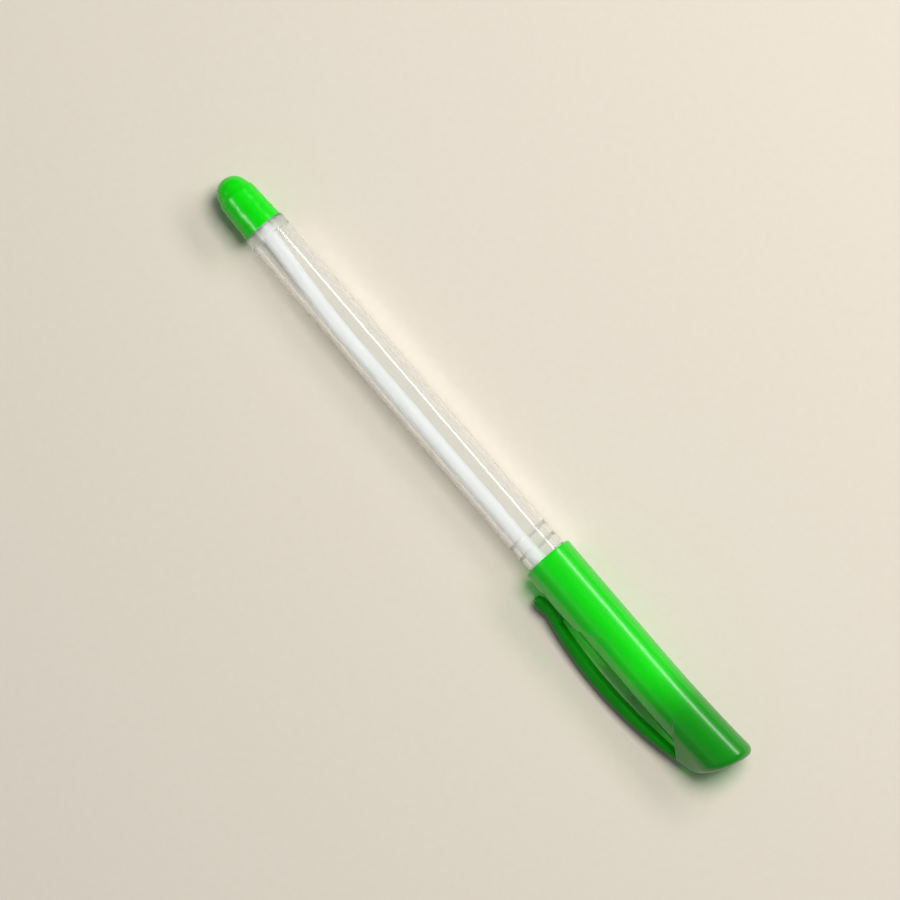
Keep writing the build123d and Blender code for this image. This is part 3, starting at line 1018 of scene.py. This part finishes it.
# Base colour painted a darker green than the cap's: painted shade, not a different plastic.
clip_painted_shade_colour = add(
    clip_green,
    "Mix",
    {0: clip_flow.outputs["Fac"], 6: linear("#007a00"), 7: linear("#008c00")},
    data_type="RGBA",
)
clip_bump = add(
    clip_green,
    "Bump",
    {"Height": clip_wear.outputs["Fac"], "Strength": 0.04, "Distance": 0.01 * mm},
)
clip_gloss = add(clip_green, "MapRange", {"Value": clip_flow.outputs["Fac"], "To Min": 0.13, "To Max": 0.22})
clip_shader = add(
    clip_green,
    "BsdfPrincipled",
    {
        "Base Color": clip_painted_shade_colour.outputs[2],
        "Roughness": clip_gloss.outputs["Result"],
        "IOR": 1.49,
        "Normal": clip_bump.outputs["Normal"],
    },
)
add(clip_green, "OutputMaterial", {"Surface": clip_shader.outputs["BSDF"]})
green_clip = skinned("green_clip", clip_rows, clip_green, "green_cap_polypropylene")
bend_start = on_cap(clip_root, root_height, 0)
bend_end = on_cap(clip_root - bend_length, root_height, 0)
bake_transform(green_clip)
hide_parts("cap_clip")

# Floor: a plain pale sheet of card that the pen lies on.
# It belongs to the studio and not to the pen.
floor_half = 0.6
floor_corners = [
    (-floor_half, -floor_half, 0),
    (floor_half, -floor_half, 0),
    (floor_half, floor_half, 0),
    (-floor_half, floor_half, 0),
]
floor_mesh = bpy.data.meshes.new("floor")
floor_mesh.from_pydata(floor_corners, [], [(0, 1, 2, 3)])
floor = bpy.data.objects.new("floor", floor_mesh)
bpy.context.scene.collection.objects.link(floor)

# Matt card: pale and warm, with faint fibres and no shine.
paper, place = blank_material("pale_matt_card")
fibre_size = 1.5 * mm
fibres = add(paper, "TexNoise", {"Vector": place, "Scale": 1 / fibre_size, "Detail": 4.0})
paper_colour = add(
    paper,
    "Mix",
    {0: fibres.outputs["Fac"], 6: linear("#e0d6c5"), 7: linear("#e5dccd")},
    data_type="RGBA",
)
paper_shader = add(paper, "BsdfPrincipled", {"Base Color": paper_colour.outputs[2], "Roughness": 0.8})
add(paper, "OutputMaterial", {"Surface": paper_shader.outputs["BSDF"]})
floor_mesh.materials.append(paper)

# Light: a dim white surround and a broad softbox almost overhead, which gives most of the light.
# A long softbox behind the pen draws the highlight along the cap, and a small one in front of the tail draws
# the one on the end cap.
surround_strength = 0.15
lamp_distance = 0.8
pen_middle = Vector((0, axis_y, axis_z))
world = bpy.data.worlds.new("studio")
world.use_nodes = True
world.node_tree.nodes.clear()
sky = add(world, "Background", {"Color": linear("#f2f5ff"), "Strength": surround_strength})
add(world, "OutputWorld", {"Surface": sky.outputs["Background"]})
bpy.context.scene.world = world


def softbox(name, off_vertical, shift, size, power):
    """Rectangular lamp over the pen, tipped to its side by some degrees and shifted along it."""
    lamp = bpy.data.lights.new(name, "AREA")
    lamp.shape = "RECTANGLE"
    lamp.size, lamp.size_y = size
    lamp.energy = power
    holder = bpy.data.objects.new(name, lamp)
    bpy.context.scene.collection.objects.link(holder)
    away = Vector((shift / lamp_distance, sin(radians(off_vertical)), cos(radians(off_vertical))))
    holder.location = pen_middle + away * lamp_distance
    holder.rotation_mode = "QUATERNION"
    holder.rotation_quaternion = away.to_track_quat("Z", "Y")
    holder.visible_transmission = False
    return holder


softbox("softbox_back", off_vertical=52, shift=0.08, size=(0.53, 0.16), power=1.9)
front_softbox = softbox("softbox_front", off_vertical=-48, shift=-0.285, size=(0.2, 0.06), power=1.4)
front_softbox.visible_diffuse = False
top_softbox = softbox("softbox_top", off_vertical=20, shift=0.0, size=(0.4, 0.4), power=5.2)
top_softbox.visible_glossy = False

# Camera: almost straight above, with the pen slanting down to the right.
# It stands far off, so that there is little perspective.
view_turn = radians(49.605)
view_rise = radians(82.5)
view_distance = 1.2
view_width = 172.45 * mm
view_x = -6.7 * mm
view_clip_step = 0.68 * mm
nearest_view = 10 * mm
lens_sensor = 36
camera_data = bpy.data.cameras.new("camera")
camera_data.sensor_width = lens_sensor
camera_data.lens = lens_sensor * view_distance / view_width
camera_data.clip_start = nearest_view
camera = bpy.data.objects.new("camera", camera_data)
bpy.context.scene.collection.objects.link(camera)
back = Vector((sin(view_turn) * cos(view_rise), -cos(view_turn) * cos(view_rise), sin(view_rise)))
camera.location = Vector((view_x, axis_y - view_clip_step, axis_z)) + back * view_distance
camera.rotation_mode = "QUATERNION"
camera.rotation_quaternion = (-back).to_track_quat("-Z", "Y")
bpy.context.scene.camera = camera
bpy.context.scene.view_settings.view_transform = "Standard"
